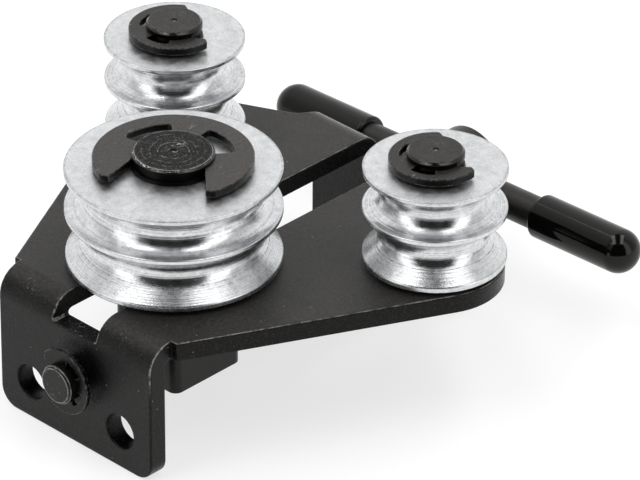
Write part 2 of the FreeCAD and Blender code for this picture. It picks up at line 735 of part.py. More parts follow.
def make_block():
    """Steel block under the frame, threaded for the screw and for the large axle."""
    body = new_body("carriage_block")
    corners = [
        ("-#block_width / 2", "-#block_ahead"),
        ("#block_width / 2", "-#block_ahead"),
        ("#block_width / 2", "#block_behind"),
        ("-#block_width / 2", "#block_behind"),
    ]
    plan = outline(body, "block_plan", "XY_Plane", corners, lift="-#block_bottom")
    pad(body, "block_blank", plan, "#block_bottom - #plate_thickness - #slide_play")

    def upright_edge(point):
        at_side = close(abs(point.x), SIZE["block_width"] / 2)
        return at_side and (close(point.y, -SIZE["block_ahead"]) or close(point.y, SIZE["block_behind"]))

    dress(body, "block_corners", "PartDesign::Fillet", upright_edge, "Radius", "#block_corner")
    thread = circle(body, "block_thread_circle", "XZ_Plane", "0", "-#screw_drop",
                    "#screw_radius + #thread_play")
    pocket(body, "block_thread", thread)

    def thread_mouth(point):
        from_axis = math.hypot(point.x, point.z + SIZE["screw_drop"])
        return close(from_axis, SIZE["screw_radius"] + SIZE["thread_play"])

    dress(body, "block_thread_mouths", "PartDesign::Chamfer", thread_mouth, "Size", "#block_mouth")
    seat = circle(body, "spigot_seat_circle", "XY_Plane", "0", "0", "#spigot_radius + #spigot_play",
                  lift="-#screw_drop")
    blind_pocket(body, "spigot_seat", seat, "#screw_drop", reverse=True)
    place(body, y="#carriage_y", z="#hole_drop")
    return body


# Screw and tee handle: drawn along Y on the screw's axis and turned together

def place_on_screw(body, y="0"):
    place(body, y=y, z="#hole_drop - #screw_drop", axis="0; 1; 0", angle="-#tee_angle")


def make_screw():
    body = new_body("lead_screw")
    clip_rear = "-#screw_clip_gap"
    clip_front = "-#screw_clip_gap - #screw_clip_thickness"
    shoulder = "#plate_thickness + #thrust_play"
    rear_end = "%s + #hub_length - #hub_chamfer" % HUB_START
    corners = [
        ("0", "-#journal_reach"),
        ("#journal_radius - #journal_chamfer", "-#journal_reach"),
        ("#journal_radius", "-#journal_reach + #journal_chamfer"),
        ("#journal_radius", "%s - #clip_play" % clip_front),
        (clip_seat("screw_clip"), "%s - #clip_play" % clip_front),
        (clip_seat("screw_clip"), "%s + #clip_play" % clip_rear),
        ("#journal_radius", "%s + #clip_play" % clip_rear),
        ("#journal_radius", shoulder),
        ("#screw_radius", shoulder),
        ("#screw_radius", rear_end),
        ("0", rear_end),
    ]
    turned(body, "screw_turned", outline(body, "screw_half", "XY_Plane", corners))
    cross_hole(body, "screw")
    place_on_screw(body)
    return body


def cross_hole(body, name):
    hole = circle(body, name + "_cross_circle", "YZ_Plane", "%s + #hub_length / 2" % HUB_START, "0",
                  "#bar_radius + #bar_play")
    pocket(body, name + "_cross_hole", hole)


def make_hub():
    body = new_body("handle_hub")
    rear = "%s + #hub_length" % HUB_START
    bore = "#screw_radius + #hub_play"
    corners = [
        (bore, HUB_START),
        ("#hub_radius - #hub_chamfer", HUB_START),
        ("#hub_radius", "%s + #hub_chamfer" % HUB_START),
        ("#hub_radius", "%s - #hub_chamfer" % rear),
        ("#hub_radius - #hub_chamfer", rear),
        (bore, rear),
    ]
    turned(body, "hub_turned", outline(body, "hub_half", "XY_Plane", corners))
    cross_hole(body, "hub")
    place_on_screw(body)
    return body


def make_bar():
    body = new_body("tee_bar")
    section = circle(body, "bar_circle", "YZ_Plane", "%s + #hub_length / 2" % HUB_START, "0",
                     "#bar_radius")
    pad(body, "bar", section, "2 * #bar_half_length", both_ways=True)
    tilted = "rotation(vector(0; 1; 0); -#tee_angle)"
    bind(body, "Placement",
         "placement(vector(0; 0; #hole_drop - #screw_drop); %s)"
         " * placement(vector(#bar_shift; 0; 0); rotation(vector(0; 1; 0); 0))" % tilted)
    return body


def make_grip(name, laid_over):
    """A dipped sleeve with a rounded closed end, drawn standing up and laid along the bar."""
    body = new_body(name)
    bore = "#bar_radius + #bar_play"
    bore_end = "#bar_half_length + #bar_play"
    radius = "%s + #grip_wall" % bore
    closed_end = "%s + #grip_cap" % bore_end
    corners = [
        (bore, "#grip_start"),
        (radius, "#grip_start"),
        (radius, closed_end),
        ("0", closed_end),
        ("0", bore_end),
        (bore, bore_end),
    ]
    turned(body, name + "_sleeve", outline(body, name + "_half", "XZ_Plane", corners))
    outside = SIZE["bar_radius"] + SIZE["bar_play"] + SIZE["grip_wall"]
    top = SIZE["bar_half_length"] + SIZE["bar_play"] + SIZE["grip_cap"]

    def on_outside(point, height):
        return close(math.hypot(point.x, point.y), outside) and close(point.z, height)

    dress(body, name + "_end", "PartDesign::Fillet",
          lambda point: on_outside(point, top), "Radius", "%s - #grip_end_flat" % radius)
    dress(body, name + "_lip", "PartDesign::Fillet",
          lambda point: on_outside(point, SIZE["grip_start"]), "Radius", "#grip_lip")
    bind(body, "Placement",
         "placement(vector(0; 0; #hole_drop - #screw_drop); rotation(vector(0; 1; 0); -#tee_angle))"
         " * placement(vector(#bar_shift; %s + #hub_length / 2; 0);"
         " rotation(vector(0; 1; 0); %s))" % (HUB_START, laid_over))
    return body


# Assembly

def make_parts():
    """Every piece of the bender, in the place it has when the photograph was taken."""
    clip_z = "#hole_drop + %s" % CLIP_FLOOR
    parts = [
        make_frame(),
        make_block(),
        make_large_axle(),
        make_roller("large_roller", "large_radius", "#large_axle_radius + #roller_bore_play",
                    "0", "#carriage_y"),
        make_washer("large_washer", "#large_washer_radius", "#large_axle_radius",
                    "0", "#carriage_y", "#hole_drop + #slide_play"),
        make_clip("large_axle_clip", "large_clip", "0", "#carriage_y", clip_z, "#large_clip_angle"),
    ]
    for side, x in (("left", "-#spread"), ("right", "#spread")):
        parts += [
            make_small_axle("small_axle_" + side, x),
            make_roller("small_roller_" + side, "small_radius",
                        "#small_axle_radius + #roller_bore_play", x, SMALL_AXLE_Y),
            make_washer("small_washer_" + side, "#small_washer_radius", "#small_axle_radius",
                        x, SMALL_AXLE_Y, "#hole_drop"),
            make_clip("small_axle_clip_" + side, "small_clip", x, SMALL_AXLE_Y, clip_z,
                      "#%s_clip_angle" % side),
        ]
    parts += [
        make_screw(),
        make_clip("screw_clip", "screw_clip", "0", "-#screw_clip_gap",
                  "#hole_drop - #screw_drop", "#screw_clip_angle", laid_over="90"),
        make_hub(),
        make_bar(),
        make_grip("grip_left", "-90"),
        make_grip("grip_right", "90"),
    ]
    return parts


def check(parts):
    for thing in doc.Objects:
        if "Invalid" in thing.State or "Error" in thing.State:
            raise RuntimeError("%s is %s" % (thing.Name, thing.State))
    for body in parts:
        shape = body.Shape
        if shape.isNull() or not shape.isValid() or len(shape.Solids) != 1:
            raise RuntimeError(body.Label + " is not one sound solid")


parts = make_parts()
doc.recompute()
check(parts)
os.makedirs("parts", exist_ok=True)
for body in parts:
    body.Shape.exportStep("parts/%s.step" % body.Label)
    box = body.Shape.BoundBox
    print("%-22s volume %9.1f  x %7.2f %7.2f  y %7.2f %7.2f  z %7.2f %7.2f" % (
        body.Label, body.Shape.Volume, box.XMin, box.XMax, box.YMin, box.YMax, box.ZMin, box.ZMax))
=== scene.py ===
import math

import bmesh
import bpy
from mathutils import Matrix, Vector


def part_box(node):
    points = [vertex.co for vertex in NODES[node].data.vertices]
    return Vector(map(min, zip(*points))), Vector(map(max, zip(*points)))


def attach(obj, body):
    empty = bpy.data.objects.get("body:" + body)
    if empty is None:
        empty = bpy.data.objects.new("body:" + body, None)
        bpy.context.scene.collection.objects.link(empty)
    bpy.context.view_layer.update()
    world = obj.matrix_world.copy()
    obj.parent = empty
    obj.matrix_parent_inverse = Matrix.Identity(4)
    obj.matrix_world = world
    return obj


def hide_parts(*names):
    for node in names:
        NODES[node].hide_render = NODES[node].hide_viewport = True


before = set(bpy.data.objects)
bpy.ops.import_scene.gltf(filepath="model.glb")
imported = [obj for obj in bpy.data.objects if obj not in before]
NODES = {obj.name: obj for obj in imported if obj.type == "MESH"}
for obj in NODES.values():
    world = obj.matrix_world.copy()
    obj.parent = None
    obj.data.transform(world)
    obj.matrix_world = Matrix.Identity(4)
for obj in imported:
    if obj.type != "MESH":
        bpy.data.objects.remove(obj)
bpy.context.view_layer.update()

# Lengths are in metres, in the frame's own axes: X across the bender, Y from the front flange
# to the tee handle, Z up, with the origin between the two mounting holes.

MM = 0.001


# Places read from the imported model

def top_of(node):
    """The point where the upright axis of a turned node meets its top."""
    low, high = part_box(node)
    return Vector(((low.x + high.x) / 2, (low.y + high.y) / 2, high.z))


plate_low, plate_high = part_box("frame_plate")
hub_low, hub_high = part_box("handle_hub")
STANDING = plate_low.z
PLATE_TOP = plate_high.z
SCREW_HEIGHT = (hub_low.z + hub_high.z) / 2


# Camera: solved from the photograph's ellipses and straight edges

PHOTO_WIDTH = 640
FOCAL_PIXELS = 5780.8
SENSOR_WIDTH = 36.0
CAMERA_AZIMUTH = math.radians(44.298)
CAMERA_ELEVATION = math.radians(31.456)
CAMERA_ROLL = math.radians(0.275)
CAMERA_DISTANCE = 1396.0 * MM
CAMERA_TARGET = Vector((18.785 * MM, 64.326 * MM, PLATE_TOP))
CAMERA_NEAREST = 0.1
CAMERA_FARTHEST = 50.0

# Level directions from the bender towards the camera and towards the picture's right
TO_CAMERA = Vector((math.sin(CAMERA_AZIMUTH), -math.cos(CAMERA_AZIMUTH), 0))
TO_RIGHT = Vector((math.cos(CAMERA_AZIMUTH), math.sin(CAMERA_AZIMUTH), 0))


def add_camera():
    back = TO_CAMERA * math.cos(CAMERA_ELEVATION) + Vector((0, 0, math.sin(CAMERA_ELEVATION)))
    up = back.cross(TO_RIGHT)
    right = TO_RIGHT * math.cos(CAMERA_ROLL) + up * math.sin(CAMERA_ROLL)
    up = back.cross(right)
    data = bpy.data.cameras.new("photo_camera")
    data.sensor_width = SENSOR_WIDTH
    data.lens = FOCAL_PIXELS / PHOTO_WIDTH * SENSOR_WIDTH
    data.clip_start = CAMERA_NEAREST
    data.clip_end = CAMERA_FARTHEST
    camera = bpy.data.objects.new("photo_camera", data)
    bpy.context.scene.collection.objects.link(camera)
    turn = Matrix((right, up, back)).transposed()
    camera.matrix_world = Matrix.Translation(CAMERA_TARGET + back * CAMERA_DISTANCE) @ turn.to_4x4()
    bpy.context.scene.camera = camera


# Node trees

SCALAR_RESULTS = ("DOT_PRODUCT", "LENGTH", "DISTANCE")

# Most of a noise lies between these two values
NOISE_LOW = 0.3
NOISE_HIGH = 0.7

# Cosines of the angle between true and softened normal where an edge starts and where it is full
EDGE_START = 0.995
EDGE_FULL = 0.90
BEVEL_SAMPLES = 8


class Tree:
    """Short calls that add shader nodes. A value may be a number, a vector or another socket."""

    def __init__(self, tree):
        self.tree = tree

    def feed(self, socket, value):
        if isinstance(value, bpy.types.NodeSocket):
            self.tree.links.new(value, socket)
        else:
            socket.default_value = value

    def node(self, kind, inputs=None, **settings):
        made = self.tree.nodes.new(kind)
        for name, value in settings.items():
            setattr(made, name, value)
        for name, value in (inputs or {}).items():
            self.feed(made.inputs[name], value)
        return made

    def math(self, operation, first, second=0.0):
        made = self.node("ShaderNodeMath", operation=operation)
        self.feed(made.inputs[0], first)
        self.feed(made.inputs[1], second)
        return made.outputs[0]

    def fold(self, operation, values):
        """One operation over all values, from the first to the last."""
        result = values[0]
        for value in values[1:]:
            result = self.math(operation, result, value)
        return result

    def plus(self, *values):
        return self.fold("ADD", values)

    def times(self, *values):
        return self.fold("MULTIPLY", values)

    def most(self, *values):
        """The largest of the values."""
        return self.fold("MAXIMUM", values)

    def vector(self, operation, first, second=(0, 0, 0)):
        made = self.node("ShaderNodeVectorMath", operation=operation)
        self.feed(made.inputs[0], first)
        self.feed(made.inputs[1], second)
        return made.outputs["Value" if operation in SCALAR_RESULTS else "Vector"]

    def parts(self, vector):
        return self.node("ShaderNodeSeparateXYZ", {"Vector": vector}).outputs

    def ramp(self, value, low, high, to_low=0.0, to_high=1.0, **settings):
        """Maps value from low..high to to_low..to_high, held at both ends."""
        inputs = {"Value": value, "From Min": low, "From Max": high, "To Min": to_low, "To Max": to_high}
        return self.node("ShaderNodeMapRange", inputs, **settings).outputs[0]

    def smooth(self, value, low, high, to_low=0.0, to_high=1.0):
        """As ramp, with soft shoulders."""
        return self.ramp(value, low, high, to_low, to_high, interpolation_type="SMOOTHSTEP")

    def spread(self, noise, to_low=0.0, to_high=1.0):
        """Maps the usual values of a noise to to_low..to_high."""
        return self.ramp(noise, NOISE_LOW, NOISE_HIGH, to_low, to_high)

    def band(self, value, low, high, soft):
        """One between low and high, falling to nothing over soft on both sides."""
        rise = self.smooth(value, low - soft, low)
        return self.times(rise, self.smooth(value, high, high + soft, 1.0, 0.0))

    def blend(self, share, first, second):
        """A number from first at share 0 to second at share 1."""
        made = self.node("ShaderNodeMix", data_type="FLOAT")
        self.feed(made.inputs["Factor"], share)
        self.feed(made.inputs["A"], first)
        self.feed(made.inputs["B"], second)
        return made.outputs["Result"]

    def mix(self, share, first, second):
        """A colour from first at share 0 to second at share 1."""
        made = self.node("ShaderNodeMix", data_type="RGBA")
        sockets = [socket for socket in made.inputs if socket.type == "RGBA"]
        self.feed(made.inputs["Factor"], share)
        self.feed(sockets[0], first)
        self.feed(sockets[1], second)
        return [socket for socket in made.outputs if socket.type == "RGBA"][0]


class Shader(Tree):
    """A material with one Principled surface."""

    def __init__(self, name):
        self.material = bpy.data.materials.new(name)
        self.material.use_nodes = True
        super().__init__(self.material.node_tree)
        self.surface = self.tree.nodes["Principled BSDF"]
        self.place = self.node("ShaderNodeTexCoord").outputs["Object"]
        self.facing = self.node("ShaderNodeNewGeometry").outputs["Normal"]
        self.rounded = self.facing

    def set(self, name, value):
        self.feed(self.surface.inputs[name], value)

    def noise(self, per_metre, detail=2.0, rough=0.5, vector=None, stretch=None):
        vector = self.place if vector is None else vector
        if stretch is not None:
            vector = self.vector("MULTIPLY", vector, stretch)
        made = self.node("ShaderNodeTexNoise", {
            "Vector": vector, "Scale": per_metre, "Detail": detail, "Roughness": rough})
        return made.outputs[0]

    def ring_noise(self, from_axis, height, per_metre, detail, rough):
        """A noise that keeps its value round an axis."""
        round_axis = self.node("ShaderNodeCombineXYZ", {"X": from_axis, "Y": height, "Z": 0.0})
        return self.noise(per_metre, detail, rough, vector=round_axis.outputs[0])

    def cells(self, per_metre):
        """Distance to the nearest of scattered points, as a share of their spacing."""
        made = self.node("ShaderNodeTexVoronoi", {"Vector": self.place, "Scale": per_metre})
        return made.outputs["Distance"]

    def bump(self, height, distance, strength):
        """Relief on top of what already shapes the normal."""
        normal = self.surface.inputs["Normal"]
        made = self.node("ShaderNodeBump", {
            "Height": height, "Distance": distance, "Strength": strength})
        if normal.links:
            self.feed(made.inputs["Normal"], normal.links[0].from_socket)
        self.feed(normal, made.outputs[0])

    def radius_about(self, point, keep=(1, 1, 0)):
        """Distance from the upright axis through a point, or from another axis if keep says so."""
        away = self.vector("SUBTRACT", self.place, point)
        return self.vector("LENGTH", self.vector("MULTIPLY", away, keep))

    def soften(self, width):
        """Shades the sharp edges of the solid as if they were broken over this width."""
        bevel = self.node("ShaderNodeBevel", {"Radius": width}, samples=BEVEL_SAMPLES)
        self.rounded = bevel.outputs[0]
        self.feed(self.surface.inputs["Normal"], self.rounded)

    def edges(self):
        """One along the softened edges, nothing on the faces."""
        agree = self.vector("DOT_PRODUCT", self.rounded, self.facing)
        return self.ramp(agree, EDGE_START, EDGE_FULL)


# Tones

WARM = 0.05


def tint(tone, warmth=WARM):
    """A grey, warmer with more red and less blue."""
    return (tone * (1 + warmth), tone, tone * (1 - warmth), 1.0)


WARM_GLOSS = (1.0, 0.975, 0.935, 1.0)
# Tone of bare steel, also the colour of painted highlights
STEEL_AND_HIGHLIGHT_TONE = tint(0.42, 0.02)
# Tone of the chamfer's burrs and painted glints
BURR_AND_GLINT_TONE = tint(0.85, 0.02)
BARE_METALLIC = 0.45
BARE_ROUGHNESS = 0.45
DEEP_BLACK = tint(0.002)
ENAMEL_DUST_AND_SHEEN = tint(0.031)
# Dust on the enamel, also the painted sheen of what faces up
SCREW_TONE = tint(0.004)
VINYL_TONE = tint(0.0022)
POLISHED_TONE = tint(0.045)
ZINC_DULL = (0.46, 0.47, 0.48, 1.0)
ZINC_BRIGHT = (0.90, 0.91, 0.92, 1.0)
ZINC_DARK = (0.07, 0.07, 0.07, 1.0)
WHITE = (1.0, 1.0, 1.0, 1.0)


# Wear, and painted highlights in bare steel's colour, that the black finishes share

# Blackened and enamelled steel have one fine grain: its scale, detail and roughness
GRAIN = (1300.0, 4.0, 0.8)


def black_shader(name, specular):
    """A shader for a black finish, whose gloss is slightly warm."""
    shader = Shader(name)
    shader.set("Specular IOR Level", specular)
    shader.set("Specular Tint", WARM_GLOSS)
    return shader


def wear_gloss(shader, bare_and_highlight, roughness, metallic=0.0):
    """Lets the gloss of bare steel through where the mask is one, on wear and on painted highlights alike.
    """
    shader.set("Metallic", shader.blend(bare_and_highlight, metallic, BARE_METALLIC))
    shader.set("Roughness", shader.blend(bare_and_highlight, roughness, BARE_ROUGHNESS))


def lay_bare_and_highlight(shader, bare_and_highlight, black, roughness):
    """Lets bare steel through where the mask is one, on wear and on painted highlights alike, and the
    black finish elsewhere.
    """
    shader.set("Base Color", shader.mix(bare_and_highlight, black, STEEL_AND_HIGHLIGHT_TONE))
    wear_gloss(shader, bare_and_highlight, roughness)


def edge_wear_and_highlight(shader, low, high):
    """Broken bright flecks along the softened edges, where a noise rises from low to high: worn steel, and
    a painted highlight where they join into a line.
    """
    return shader.times(shader.edges(), shader.ramp(shader.noise(900.0, 3.0, 0.65), low, high))


# Frame: black enamel on rolled sheet

def dust_and_top_sheen(shader, grain, clouds, up, height):
    """How far a thin film of dust dulls the enamel, fully only on what faces up, where it is also the
    painted sheen of the top.
    """
    uneven = shader.plus(shader.spread(clouds, 0.65, 1.0), shader.spread(grain, -0.55, 0.55))
    on_plate = shader.smooth(height, PLATE_TOP - 5 * MM, PLATE_TOP - 3 * MM)
    lying = shader.times(shader.smooth(up, 0.5, 0.95), on_plate)
    return shader.times(uneven, shader.blend(lying, 0.03, 1.0))


def wing_wear_and_highlight(shader, up, height, behind):
    """Bare steel and a painted highlight along the rounding above the wings' edges."""
    rounding = shader.times(shader.band(up, 0.62, 0.90, 0.06),
                            shader.ramp(height, PLATE_TOP - 0.55 * MM, PLATE_TOP - 0.5 * MM))
    broken = shader.ramp(shader.noise(420.0, 5.0, 0.75), 0.38, 0.58)
    return shader.times(rounding, broken, shader.ramp(behind, 4.5 * MM, 5.5 * MM, 0.0, 0.8))


def knocked_bend(shader, facing, height, behind):
    """Bare dots over the top of the front bend, a line along its ends that is worn steel and painted
    highlight, and chips on every sharp edge of the frame."""
    at_bend = shader.times(shader.smooth(behind, 7.0 * MM, 3.5 * MM),
                           shader.smooth(height, PLATE_TOP - 14 * MM, PLATE_TOP - 6 * MM))
    dots = shader.times(shader.ramp(shader.noise(1900.0, 3.0, 0.8), 0.61, 0.66),
                        shader.ramp(shader.noise(160.0, 3.0, 0.7), 0.47, 0.58),
                        at_bend, shader.smooth(facing["Z"], 0.3, 0.8))
    chips = shader.noise(900.0, 4.0, 0.7)
    outward = shader.ramp(shader.math("SUBTRACT", facing["Z"], facing["Y"]), 0.25, 0.45)
    sideways = shader.band(shader.math("ABSOLUTE", facing["X"]), 0.30, 0.85, 0.1)
    # Along the bend's rounded ends: worn steel and painted highlight
    ends = shader.times(sideways, outward, at_bend, shader.ramp(chips, 0.40, 0.54))
    chipped = shader.times(shader.edges(), shader.ramp(chips, 0.60, 0.68))
    return shader.most(dots, ends, chipped)


def scattered_marks(shader):
    """Sparse bare specks in patches, and faint glints all over."""
    specks = shader.times(shader.ramp(shader.cells(420.0), 0.075, 0.05),
                          shader.ramp(shader.noise(260.0, 1.0), 0.55, 0.62))
    glints = shader.ramp(shader.noise(1500.0, 3.0, 0.85), 0.52, 0.72, 0.0, 0.10)
    return shader.most(specks, glints)


def frame_paint():
    """Black enamel with grain, faint rolling marks, dust with painted sheen on top, and rubbed and chipped
    edges with painted highlights along some of them.
    """
    shader = black_shader("frame_enamel", 0.15)
    shader.soften(0.3 * MM)
    grain = shader.noise(*GRAIN)
    rolling = shader.noise(420.0, stretch=(1.0, 0.06, 1.0))
    clouds = shader.noise(90.0, 4.0, 0.6)
    facing = shader.parts(shader.facing)
    up = facing["Z"]
    place = shader.parts(shader.place)
    height = place["Z"]
    behind = place["Y"]
    # Dust, and painted sheen on the faces that look up
    film_and_sheen = dust_and_top_sheen(shader, grain, clouds, up, height)
    # Bare steel, with painted highlights along the wings' edges and the bend's ends
    bare_and_highlight = shader.most(wing_wear_and_highlight(shader, up, height, behind),
                       knocked_bend(shader, facing, height, behind), scattered_marks(shader))
    roughness = shader.plus(shader.spread(clouds, 0.13, 0.20), shader.spread(rolling, -0.02, 0.03))
    lay_bare_and_highlight(shader, shader.times(bare_and_highlight, 0.6), shader.mix(film_and_sheen, DEEP_BLACK, ENAMEL_DUST_AND_SHEEN), roughness)
    shader.bump(grain, 0.16 * MM, 1.0)
    shader.bump(rolling, 0.08 * MM, 0.5)
    shader.bump(shader.noise(120.0, 1.0), 0.12 * MM, 0.3)
    return shader.material


# Blackened steel

def plain_black(name, tone, roughness, worn_low=0.56, worn_high=0.64):
    """Blackened steel with fine grain and thin rubbed edges."""
    shader = black_shader(name, 0.3)
    shader.soften(0.25 * MM)
    grain = shader.noise(*GRAIN)
    clouds = shader.noise(160.0, 3.0, 0.6)
    oxide = shader.mix(shader.spread(grain), tint(tone * 0.5), tint(tone * 2))
    shade = shader.spread(clouds, roughness - 0.04, roughness + 0.06)
    lay_bare_and_highlight(shader, edge_wear_and_highlight(shader, worn_low, worn_high), oxide, shade)
    shader.bump(grain, 0.12 * MM, 0.5)
    return shader.material


def clip_black(name, palest, nicked):
    """Spring clip: stamped sheet, tumbled, with a bright line along its upper edge that is worn steel and
    painted highlight, and upper faces paler in patches, partly painted sheen. palest is the tone of its
    palest spots, nicked how far bare steel shows in its scratches."""
    shader = black_shader(name, 0.2)
    shader.soften(0.22 * MM)
    scratches = shader.noise(900.0, 4.0, 0.75, stretch=(1.0, 0.25, 1.0))
    patchy = shader.noise(1600.0, 4.0, 0.8)
    clouds = shader.noise(220.0, 3.0, 0.6)
    up = shader.smooth(shader.parts(shader.facing)["Z"], 0.5, 0.95, 0.05, 1.0)
    # Paler on the upper faces: patchy tone and painted sheen
    pale_and_sheen = shader.times(up, shader.ramp(patchy, 0.34, 0.68, 0.4, 0.95))
    nicks = shader.times(shader.ramp(scratches, 0.64, 0.70), up, nicked)
    # The line along the edges is worn steel and painted highlight
    bare_and_highlight = shader.most(shader.times(edge_wear_and_highlight(shader, 0.44, 0.56), 0.7), nicks)
    roughness = shader.plus(shader.spread(clouds, 0.17, 0.30),
                            shader.ramp(scratches, 0.35, 0.65, -0.03, 0.04))
    lay_bare_and_highlight(shader, bare_and_highlight, shader.mix(pale_and_sheen, DEEP_BLACK, tint(palest)), roughness)
    shader.bump(scratches, 0.1 * MM, 0.5)
    shader.bump(patchy, 0.08 * MM, 0.5)
    return shader.material


AXLE_LOOKS = {
    "large": {"radius": 10.0 * MM, "ringed": 1.0, "specular": 0.08, "palest": 0.006},
    "small": {"radius": 7.0 * MM, "ringed": 0.12, "specular": 0.19, "palest": 0.032},
}

# A knock has torn the end behind its centre and a little to the picture's right
KNOCK = TO_RIGHT * 1.2 * MM - TO_CAMERA * 3.2 * MM


def end_marks(shader, away, from_axis, rings, marks, radius, ringed):
    """Bare steel on an axle's end: parts of tool rings, specks and a torn spot, and a line just inside the
    chamfer that is worn steel and painted highlight."""
    fading = shader.smooth(from_axis, radius * 0.25, radius * 0.75, 1.0, 0.35)
    scored = shader.times(shader.ramp(rings, 0.53, 0.61), shader.ramp(marks, 0.49, 0.57),
                          fading, ringed * 0.75)
    specks = shader.times(shader.ramp(shader.noise(2300.0, 3.0, 0.8), 0.56, 0.70), ringed * 0.3)
    knocked = shader.smooth(shader.vector("DISTANCE", away, KNOCK), 2.6 * MM, 1.2 * MM)
    torn = shader.times(knocked, shader.ramp(shader.noise(1100.0, 4.0, 0.8), 0.54, 0.62), ringed)
    line = shader.times(shader.band(from_axis, radius - 0.64 * MM, radius - 0.60 * MM, 0.06 * MM),
                        shader.ramp(marks, 0.36, 0.50, 0.1, 0.9), ringed)
    return shader.most(scored, specks, torn, line)


def rim_burrs_and_glints(shader, away, at_rim, height, ringed):
    """Bright burrs and painted glints on the upper chamfer, most of them to the picture's left."""
    upper = shader.times(at_rim, shader.ramp(height, -0.38 * MM, -0.30 * MM))
    sideways = shader.vector("DOT_PRODUCT", away, TO_RIGHT)
    return shader.times(upper, shader.ramp(shader.noise(1500.0, 4.0, 0.85), 0.54, 0.60),
                        shader.smooth(sideways, 2.5 * MM, -0.5 * MM, 0.2, 1.0), ringed)


def turned_black(name, top, radius, ringed, specular, palest):
    """Blackened axle with a polished chamfer and a painted highlight in its centre dimple. radius is that
    of its end, ringed how far bare steel shows there, and palest the tone of the thin film on its end,
    which also paints its sheen."""
    shader = black_shader(name, specular)
    shader.soften(0.2 * MM)
    away = shader.vector("SUBTRACT", shader.place, top)
    from_axis = shader.radius_about(top)
    height = shader.parts(away)["Z"]
    marks = shader.noise(650.0, 5.0, 0.8)
    wobble = shader.ramp(shader.noise(300.0, 1.0), 0.0, 1.0, -0.3 * MM, 0.3 * MM)
    rings = shader.ring_noise(shader.plus(from_axis, wobble), height, 1500.0, 3.0, 0.8)

    on_end = shader.ramp(height, -0.12 * MM, -0.05 * MM)
    at_rim = shader.ramp(from_axis, radius - 0.75 * MM, radius - 0.5 * MM)
    polished = shader.times(at_rim, shader.ramp(height, -0.75 * MM, -0.55 * MM),
                            shader.ramp(height, -0.04 * MM, -0.1 * MM))
    burrs_and_glints = rim_burrs_and_glints(shader, away, at_rim, height, ringed)
    on_face = shader.times(on_end, end_marks(shader, away, from_axis, rings, marks, radius, ringed))
    # Painted highlight in the centre dimple
    painted_centre_highlight = shader.ramp(from_axis, 0.5 * MM, 0.3 * MM, 0.0, 0.7)
    bare_and_highlight = shader.most(on_face, burrs_and_glints, painted_centre_highlight)

    # Thin film and painted sheen on the end
    film_and_sheen = shader.times(on_end, shader.ramp(marks, 0.36, 0.66, 0.4, 1.0))
    oxide = shader.mix(film_and_sheen, DEEP_BLACK, tint(palest))
    oxide = shader.mix(polished, oxide, POLISHED_TONE)
    worn_and_glinting = shader.mix(bare_and_highlight, oxide, STEEL_AND_HIGHLIGHT_TONE)
    # Burrs and painted glints on the chamfer
    shader.set("Base Color", shader.mix(burrs_and_glints, worn_and_glinting, BURR_AND_GLINT_TONE))
    wear_gloss(shader, bare_and_highlight, shader.blend(polished, shader.spread(marks, 0.14, 0.26), 0.08), polished)
    shader.bump(shader.times(rings, on_end), 0.1 * MM, 0.7)
    shader.bump(shader.noise(1700.0, 3.0, 0.7), 0.08 * MM, 0.5)
    return shader.material


# Rollers: bright zinc on turned steel

def zinc_darkening(shader, from_axis, radius, on_top, fine):
    """Where the zinc is dark: along the rims' edges, in a line inside the top's rim, specks and tool
    lines.
    """
    dashes = shader.ramp(shader.noise(700.0, 5.0, 0.75), 0.42, 0.58)
    at_rim = shader.ramp(from_axis, radius - 0.3 * MM, radius - 0.2 * MM)
    dark_rim_edges = shader.times(shader.edges(), at_rim, shader.ramp(dashes, 0.0, 1.0, 0.5, 0.95))
    inside = shader.band(from_axis, radius - 0.50 * MM, radius - 0.25 * MM, 0.1 * MM)
    line = shader.times(inside, on_top, dashes, 0.35)
    specks = shader.ramp(shader.noise(1500.0, 4.0, 0.7), 0.64, 0.74, 0.0, 0.55)
    broken = shader.ramp(shader.noise(900.0, 4.0, 0.7), 0.36, 0.60)
    off_top = shader.math("SUBTRACT", 1.0, on_top)
    lines = shader.times(shader.ramp(fine, 0.53, 0.63, 0.0, 0.75), broken, off_top)
    return shader.most(dark_rim_edges, line, specks, lines)


def zinc(name, top, low, high, radius):
    """Fine lines round the axis on the flanks and grooves, a mottled top, darker rim edges."""
    shader = Shader(name)
    shader.set("Metallic", 1.0)
    shader.soften(0.4 * MM)
    from_axis = shader.radius_about(top)
    height = shader.parts(shader.place)["Z"]
    fine = shader.ring_noise(from_axis, height, 3600.0, 3.0, 0.7)
    coarse = shader.ring_noise(from_axis, height, 1100.0, 2.0, 0.6)
    mottle = shader.noise(420.0, 5.0, 0.7)
    grain = shader.noise(1900.0, 4.0, 0.8)
    on_top = shader.ramp(height, high - 0.2 * MM, high - 0.1 * MM)

    # The lowest flank was left coarser by the tool
    coarser = shader.smooth(height, low + 5.2 * MM, low + 4.4 * MM, 0.0, 0.08)
    rough_side = shader.plus(shader.spread(fine, 0.13, 0.23),
                             shader.ramp(mottle, 0.35, 0.7, -0.02, 0.06), coarser)
    shader.set("Roughness", shader.blend(on_top, rough_side, shader.spread(mottle, 0.28, 0.46)))

    clouded = shader.blend(0.5, shader.spread(grain), shader.spread(mottle))
    shade = shader.mix(clouded, ZINC_DULL, ZINC_BRIGHT)
    darkening = zinc_darkening(shader, from_axis, radius, on_top, fine)
    shader.set("Base Color", shader.mix(darkening, shade, ZINC_DARK))
    shader.bump(shader.blend(on_top, fine, grain), 0.06 * MM, 0.6)
    shader.bump(shader.blend(on_top, coarse, mottle), 0.08 * MM, 0.5)
    return shader.material


# Grips

